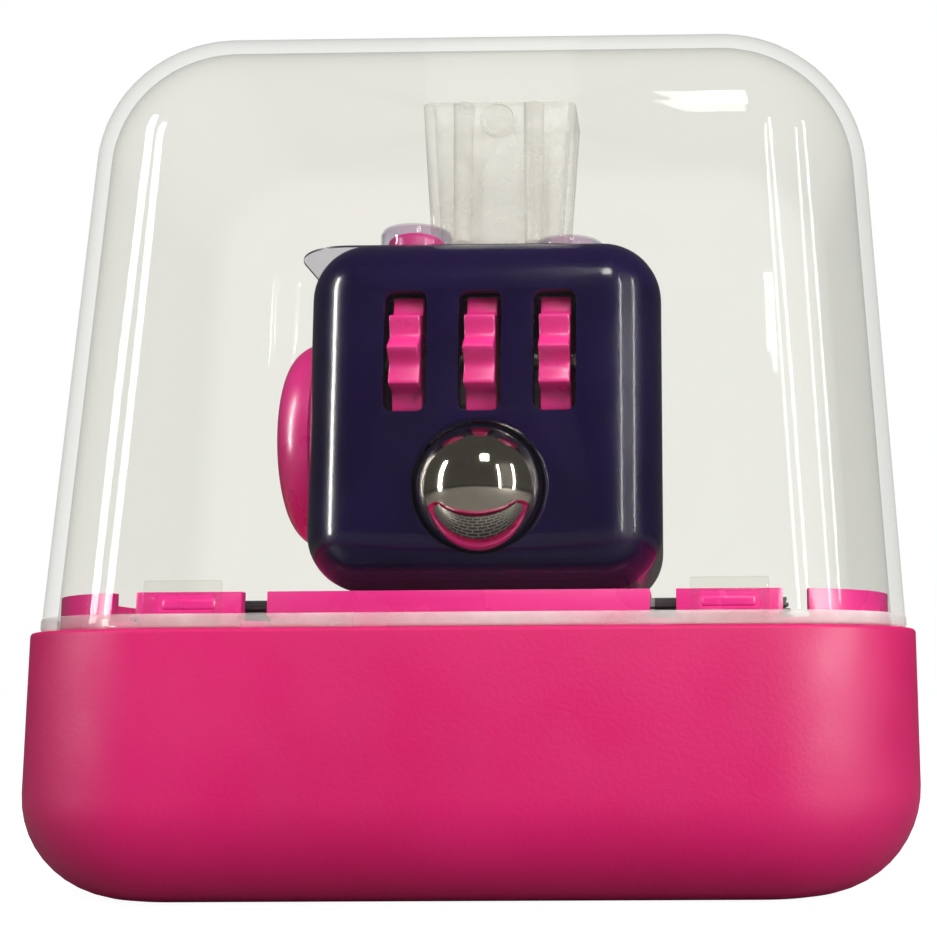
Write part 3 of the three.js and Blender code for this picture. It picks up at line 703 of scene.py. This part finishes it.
def make_rocker():
    """A bar along Z with two wings, hollowed for the thumb, then turned under the cube and tilted."""
    def middle(vertex):
        return abs(vertex.co.z) < 0.1 * MM

    rocker = block((-0.1, -2.5, -5.8), (3.4, 2.5, 5.8))
    pick(rocker, "EDGE", along(2))
    bpy.ops.mesh.subdivide(number_cuts=1)
    pick(rocker, "VERT", lambda v: middle(v) and v.co.x > 3 * MM)
    bpy.ops.transform.translate(value=(-1.2 * MM, 0, 0))
    pick(rocker, "VERT", lambda v: middle(v) and v.co.x < 0)
    bpy.ops.transform.translate(value=(-1.2 * MM, 0, 0))
    pick(rocker, "VERT", lambda v: abs(v.co.z) > 5 * MM and v.co.x < 0)
    bpy.ops.transform.translate(value=(0.7 * MM, 0, 0))
    pick(rocker, "VERT", lambda v: abs(v.co.z) > 5 * MM and v.co.x > 3 * MM)
    bpy.ops.transform.resize(value=(1, 1, 0.93), center_override=(0, 0, 0))
    leave(rocker)
    round_edges(rocker, lambda e: all(middle(v) for v in e.verts) and e.verts[0].co.x > 1 * MM, 2.4, 8)
    # The rocker is still at the origin here, so its pin hole is turned and brought back there.
    pin_hole = turned([[0.65, -5], [0.65, 5]], 32)
    place(pin_hole, "back")
    pin_hole.location = -CUBE_CENTRE
    settle()
    cut(rocker, pin_hole)
    soften(rocker, 0.45, 4, 40)
    rocker.rotation_euler = (0, math.radians(90 - 10), 0)
    rocker.location = CUBE_CENTRE + Vector((0, 0, -13.9)) * MM
    settle()
    return finished(rocker, "rocker_switch", "rocker", ["flip_rocker"], CONTROL_ABS)


CARRIED_OVER = {
    "mechanism_frame": ACETAL,
    "ball_cup": ACETAL,
    "glide_washer": ACETAL,
    "rocker_bracket": ACETAL,
    "button_board": ACETAL,
    "return_ring": SILICONE,
    "snap_dome_2": SILICONE,
    "snap_dome_4": SILICONE,
}


def finish_hidden_parts():
    """The mechanism inside keeps its CAD shapes and gets real finishes."""
    for name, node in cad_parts.items():
        if node.hide_render:
            continue
        node.data.materials.clear()
        node.data.materials.append(CARRIED_OVER.get(name, SPRING_STEEL))


make_tub()
make_deck()
make_leaflet()
make_lid()
make_post()
make_film()
make_shell()
make_panel()
make_rollers()
make_ball()
make_dial()
make_buttons()
make_glide()
make_rocker()
finish_hidden_parts()


# ---------------------------------------------------------------- studio
def make_floor():
    """A pale seamless floor."""
    floor = primitive("plane", size=6)
    pick(floor, "FACE", lambda f: True)
    bpy.ops.mesh.subdivide(number_cuts=4)
    leave(floor)
    material = blank_material("pale_paper_floor")
    position = add_node(material, "ShaderNodeTexCoord").outputs["Object"]
    tone = mottled(material, position, "#8C8C8B", "#909090", 120)
    # Seen directly it glows, like paper lit from behind; the glow throws no light on the case.
    direct = add_node(material, "ShaderNodeLightPath").outputs["Is Camera Ray"]
    glow = add_node(material, "ShaderNodeMath", {"operation": "MULTIPLY", 1: 0.96}, {0: direct})
    shader = add_node(
        material,
        "ShaderNodeBsdfPrincipled",
        {"Roughness": 0.9, "Specular IOR Level": 0.1, "Emission Color": colour("#FFFFFF")},
        {"Base Color": tone, "Emission Strength": glow.outputs[0]},
    )
    add_node(material, "ShaderNodeOutputMaterial", {}, {"Surface": shader.outputs["BSDF"]})
    floor.name = "studio_floor"
    floor.data.materials.append(material)


def add_light(name, centre, target, width, height, watts, card=False):
    """A softbox, or a card: a card shows in the gloss only, and a softbox lights without showing there."""
    data = bpy.data.lights.new(name, "AREA")
    data.shape = "RECTANGLE"
    data.size, data.size_y = width, height
    data.energy = watts
    light = bpy.data.objects.new(name, data)
    light.location = centre
    light.rotation_euler = (Vector(target) - Vector(centre)).to_track_quat("-Z", "Y").to_euler()
    light.visible_glossy = card
    light.visible_diffuse = not card
    bpy.context.collection.objects.link(light)
    return light


def light_world():
    """White where the camera sees it, and only a faint fill for everything else."""
    world = bpy.data.worlds.new("studio")
    world.use_nodes = True
    nodes, links = world.node_tree.nodes, world.node_tree.links
    nodes.clear()
    seen = nodes.new("ShaderNodeBackground")
    seen.inputs["Color"].default_value = (1, 1, 1, 1)
    seen.inputs["Strength"].default_value = 1.0
    fill = nodes.new("ShaderNodeBackground")
    fill.inputs["Color"].default_value = (1, 0.99, 0.97, 1)
    fill.inputs["Strength"].default_value = 0.1
    path = nodes.new("ShaderNodeLightPath")
    mix = nodes.new("ShaderNodeMixShader")
    out = nodes.new("ShaderNodeOutputWorld")
    links.new(path.outputs["Is Camera Ray"], mix.inputs[0])
    links.new(fill.outputs[0], mix.inputs[1])
    links.new(seen.outputs[0], mix.inputs[2])
    links.new(mix.outputs[0], out.inputs["Surface"])
    bpy.context.scene.world = world


def add_camera():
    data = bpy.data.cameras.new("camera")
    data.sensor_width = 36
    data.lens = 51.09
    data.shift_x = -0.1878
    data.shift_y = 0.035
    data.clip_start = 0.01
    data.clip_end = 20
    camera = bpy.data.objects.new("camera", data)
    pitch, yaw, roll = math.radians(7.72), math.radians(-0.79), math.radians(0.37)
    forward = Vector(
        (math.sin(yaw) * math.cos(pitch), math.cos(yaw) * math.cos(pitch), math.sin(pitch))
    )
    turn = forward.to_track_quat("-Z", "Y").to_matrix().to_4x4()
    camera.rotation_euler = turn.to_euler()
    camera.rotation_euler.rotate_axis("Z", -roll)
    camera.location = (16.48 * MM, -133.79 * MM, 17.81 * MM)
    bpy.context.collection.objects.link(camera)
    bpy.context.scene.camera = camera


make_floor()
light_world()
add_light("overhead_softbox", (0, -0.1, 0.55), (0, 0, 0.04), 0.5, 0.4, 1.7)
add_light("front_softbox", (0.05, -0.6, 0.5), (0, 0, 0.04), 0.5, 0.4, 4.5)
add_light("right_softbox", (0.36, -0.3, 0.16), (0, 0, 0.04), 0.2, 0.34, 1.0)
add_light("right_card", (0.36, -0.3, 0.16), (0, 0, 0.04), 0.24, 0.34, 7.5, card=True)
add_light("left_card", (-0.4, -0.2, 0.16), (0, 0, 0.04), 0.05, 0.34, 2.8, card=True)
add_light("window_card", (0.1, -0.42, 0.5), (0, 0, 0.04), 0.13, 0.13, 1.2, card=True)
add_camera()
bpy.context.scene.view_settings.view_transform = "Standard"
# A ray through the lid, the film and the post crosses many clear walls before it reaches daylight.
bpy.context.scene.cycles.transparent_max_bounces = 32
